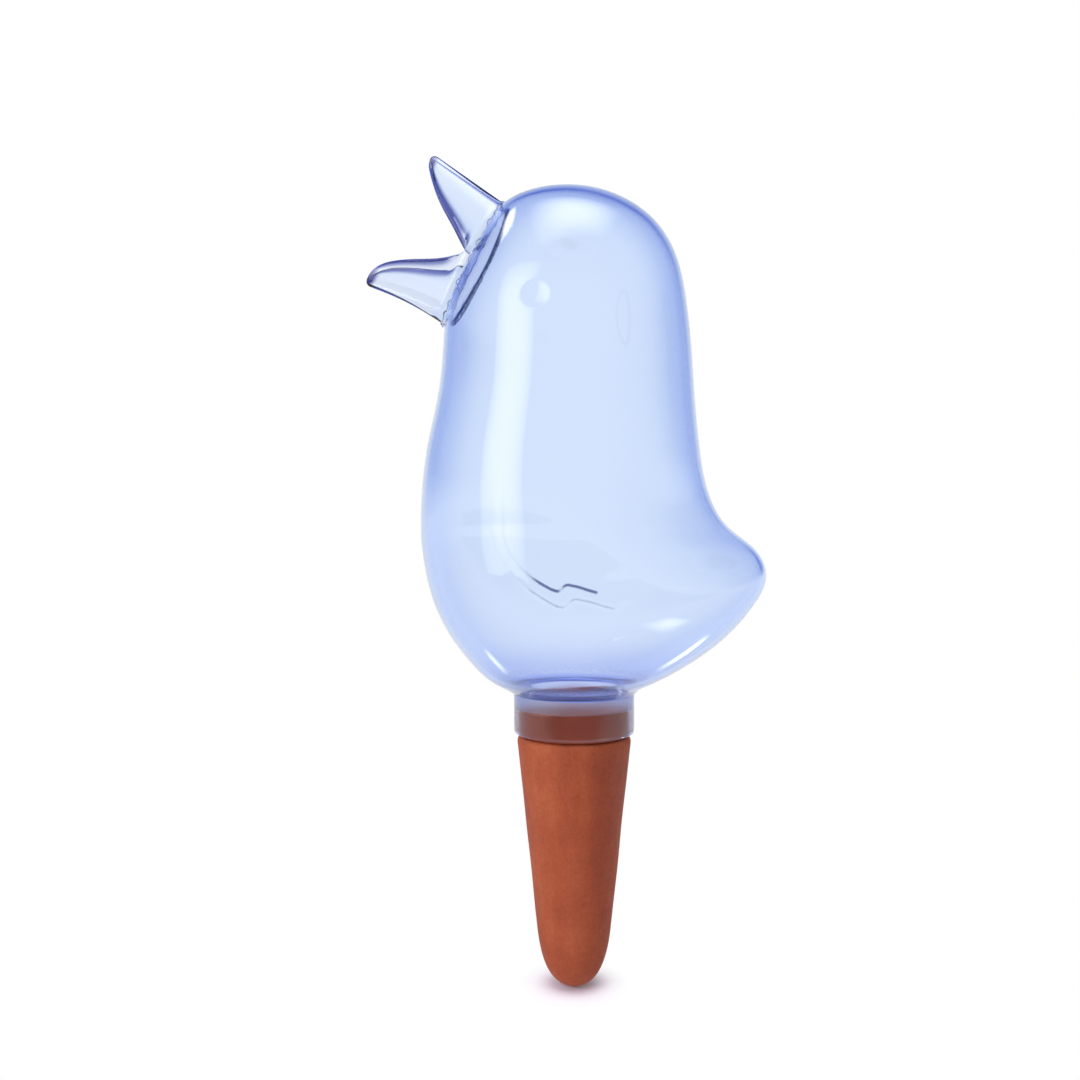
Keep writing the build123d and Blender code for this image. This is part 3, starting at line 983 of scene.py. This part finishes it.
# camera: the photograph is square and level; its side, the way to the bird's middle plane and the place of
# the origin are in its pixels
camera = {
    "side": 1080,
    "away": 1000,
    "origin": (574, 734),
    "mmPerPixel": 0.2521,
    "sensor": 36.0,
    "clipStart": 0.01,
}
cameraData = bpy.data.cameras.new("photoCamera")
photoCamera = placed("photoCamera", cameraData)
centre = camera["side"] / 2
pixel = camera["mmPerPixel"] * mm
photoCamera.location = (
    (centre - camera["origin"][0]) * pixel,
    -camera["away"] * pixel,
    (camera["origin"][1] - centre) * pixel,
)
photoCamera.rotation_euler = (math.pi / 2, 0, 0)
cameraData.sensor_width = camera["sensor"]
cameraData.lens = camera["sensor"] * camera["away"] / camera["side"]
cameraData.clip_start = camera["clipStart"]
bpy.context.scene.camera = photoCamera


# 1 for rays of one kind, else 0
def rayIs(tree, kind):
    return tree.node("ShaderNodeLightPath", output="Is " + kind + " Ray")


# 1 for rays from the camera and for those that gloss or a clear wall sends on, else 0
def seenRays(tree):
    rays = rayIs(tree, "Camera") + rayIs(tree, "Glossy") + rayIs(tree, "Transmission")
    return tree.node("ShaderNodeClamp", {"Value": rays})


# floor under the cone's tip: takes the shadow near the object, deepened by a painted contact shadow at the
# tip, and is plain white to the eye further off
floor = {
    "half": 3.0,
    # lavender, so that the shade near the tip takes a painted purple tint
    "colour": (0.77, 0.64, 0.83),
    "tip": (0.001, 0.01),  # the glow grows over this distance from the cone's tip, a painted contact shadow where it is least
    "glow": (0.01, 0.45),
    "far": (0.005, 0.0145),  # and the shade turns white over this
    "front": (-0.3, -0.18),  # towards the camera the floor is darker in gloss alone
    "haze": 0.3,
}
floorMesh = bpy.data.meshes.new("studioFloor")
reach, level = floor["half"], cadLow[2]
corners = [(-reach, -reach, level), (reach, -reach, level), (reach, reach, level), (-reach, reach, level)]
floorMesh.from_pydata(corners, [], [(0, 1, 2, 3)])
studioFloor = placed("studioFloor", floorMesh)
floorMaterial = bpy.data.materials.new("studioFloor")
tree = emptyTree(floorMaterial)
seen = seenRays(tree)
around = tree.node("ShaderNodeTexCoord", output="Object")
flat = tree.node("ShaderNodeVectorMath", {0: around, 1: (1, 1, 0)}, operation="MULTIPLY")
distance = tree.node("ShaderNodeVectorMath", {0: flat}, "Value", operation="LENGTH")
shade = tree.node("ShaderNodeBsdfDiffuse", {"Color": (*floor["colour"], 1)}, "BSDF")
# painted contact shadow: the floor glows least right at the cone's tip
glow = seen * between(distance, floor["tip"], floor["glow"])
glow = tree.node("ShaderNodeEmission", {"Color": glow}, "Emission")
nearby = tree.node("ShaderNodeAddShader", {0: shade, 1: glow})
forward = tree.node("ShaderNodeSeparateXYZ", {0: around}, "Y")
inFront = between(forward, floor["front"], (floor["haze"], 1.0))
glossOnly = rayIs(tree, "Glossy") * (1 - rayIs(tree, "Transmission"))
white = tree.node("ShaderNodeEmission", {"Color": 1 - glossOnly * (1 - inFront)}, "Emission")
farOff = between(distance, floor["far"], interpolation="SMOOTHSTEP")
plain = (1 - rayIs(tree, "Camera") * (1 - farOff)) * seen
surface = tree.node("ShaderNodeMixShader", {0: plain, 1: nearby, 2: white})
tree.node("ShaderNodeOutputMaterial", {"Surface": surface})
floorMesh.materials.append(floorMaterial)

# room: white to the eye; straight behind the object and low down it is white for gloss and clear walls too,
# and to the sides, above and in front it is darker, by how far a ray goes away from the camera
room = {
    "fill": 0.24,
    "inGloss": [
        (0.0, (0.9, 0.9, 0.95)), (0.3, (0.75, 0.78, 0.9)), (0.6, (0.05, 0.09, 0.42)),
        (0.8, (0.08, 0.14, 0.55)), (0.9, (0.5, 0.58, 0.85)), (0.96, (1, 1, 1)),
    ],
    "throughClear": [
        (0.0, (0.85, 0.88, 1.0)), (0.35, (0.6, 0.65, 0.9)), (0.6, (0.06, 0.1, 0.5)),
        (0.8, (0.08, 0.14, 0.6)), (0.94, (1, 1, 1)),
    ],
    "horizon": (0.0, 0.14),
}
world = bpy.data.worlds.new("studio")
bpy.context.scene.world = world
tree = emptyTree(world)
ray = tree.node("ShaderNodeTexCoord", output="Generated")
away = tree.node("ShaderNodeSeparateXYZ", {0: ray}, "Y") * 0.5 + 0.5  # 0 towards the camera, 1 away from it
above = between(tree.node("ShaderNodeSeparateXYZ", {0: ray}, "Z"), room["horizon"])
gloss = tree.node("ShaderNodeBackground", {"Color": colourRamp(away, room["inGloss"])}, "Background")
clear = tree.node("ShaderNodeBackground", {"Color": colourRamp(away, room["throughClear"])}, "Background")
white = tree.node("ShaderNodeBackground", {"Strength": 1.0, "Color": (1, 1, 1, 1)}, "Background")
fill = tree.node("ShaderNodeBackground", {"Strength": room["fill"], "Color": (1, 1, 1, 1)}, "Background")
sides = tree.node("ShaderNodeMixShader", {0: rayIs(tree, "Transmission"), 1: gloss, 2: clear})
shown = tree.node("ShaderNodeMixShader", {0: above, 1: white, 2: sides})
light = tree.node("ShaderNodeMixShader", {0: seenRays(tree), 1: fill, 2: shown})
light = tree.node("ShaderNodeMixShader", {0: rayIs(tree, "Camera"), 1: light, 2: white})
tree.node("ShaderNodeOutputWorld", {"Surface": light})

# soft boxes: the key on the left, one above, one for the crown and three below for glints, in metres
softBoxes = {
    "keyLight": {
        "place": (-0.38, -0.34, 0.2), "aim": (0, 0, 0.1), "size": (0.32, 0.62), "radiance": 4.8,
        "softness": 0.6,
    },
    "topLight": {
        "place": (0.0, -0.12, 0.72), "aim": (0, 0, 0.05), "size": (0.75, 0.65), "radiance": 5.8,
        "softness": 1.4,
    },
    "hairLight": {
        "place": (-0.348, 0.198, 0.572), "aim": (0, 0, 0.12), "size": (0.22, 0.09), "radiance": 11.0,
        "softness": 1.5, "onGlossOnly": True,
    },
    "lowRight": {
        "place": (0.104, 0.04, -0.06), "aim": (0.104, 0.04, 0), "size": (0.08, 0.03), "radiance": 7.0,
        "softness": 1.2, "onGlossOnly": True,
    },
    "lowFront": {
        "place": (0.175, -0.11, -0.06), "aim": (0.175, -0.11, 0), "size": (0.12, 0.09), "radiance": 5.0,
        "softness": 1.2, "onGlossOnly": True,
    },
    "lowLeft": {
        "place": (-0.088, 0.026, -0.06), "aim": (-0.088, 0.026, 0), "size": (0.05, 0.02), "radiance": 5.0,
        "softness": 1.2, "onGlossOnly": True,
    },
}


# soft box: a rectangle of light aimed at a point, brightest in its middle and fading to its edges
def softBox(name, place, aim, size, radiance, softness, onGlossOnly=False):
    data = bpy.data.lights.new(name, "AREA")
    data.shape = "RECTANGLE"
    data.size, data.size_y = size
    data.energy = math.pi * size[0] * size[1]
    tree = emptyTree(data)
    across = tree.node("ShaderNodeNewGeometry", output="Parametric")
    u = tree.node("ShaderNodeSeparateXYZ", {0: across}, "X")
    v = tree.node("ShaderNodeSeparateXYZ", {0: across}, "Y")
    fade = u * (1 - u) * v * (1 - v) * 16  # 1 in the middle, 0 at the edges
    strength = tree.math("POWER", fade, softness) * radiance
    tree.node("ShaderNodeOutputLight", {0: tree.node("ShaderNodeEmission", {"Strength": strength})})
    lamp = placed(name, data)
    lamp.location = place
    lamp.rotation_euler = (Vector(aim) - Vector(place)).to_track_quat("-Z", "Y").to_euler()
    lamp.visible_camera = False
    lamp.visible_transmission = False  # shows as gloss on the outside only
    lamp.visible_diffuse = not onGlossOnly


for name, settings in softBoxes.items():
    softBox(name, **settings)
print("studio set")

bpy.context.scene.view_settings.view_transform = "Standard"
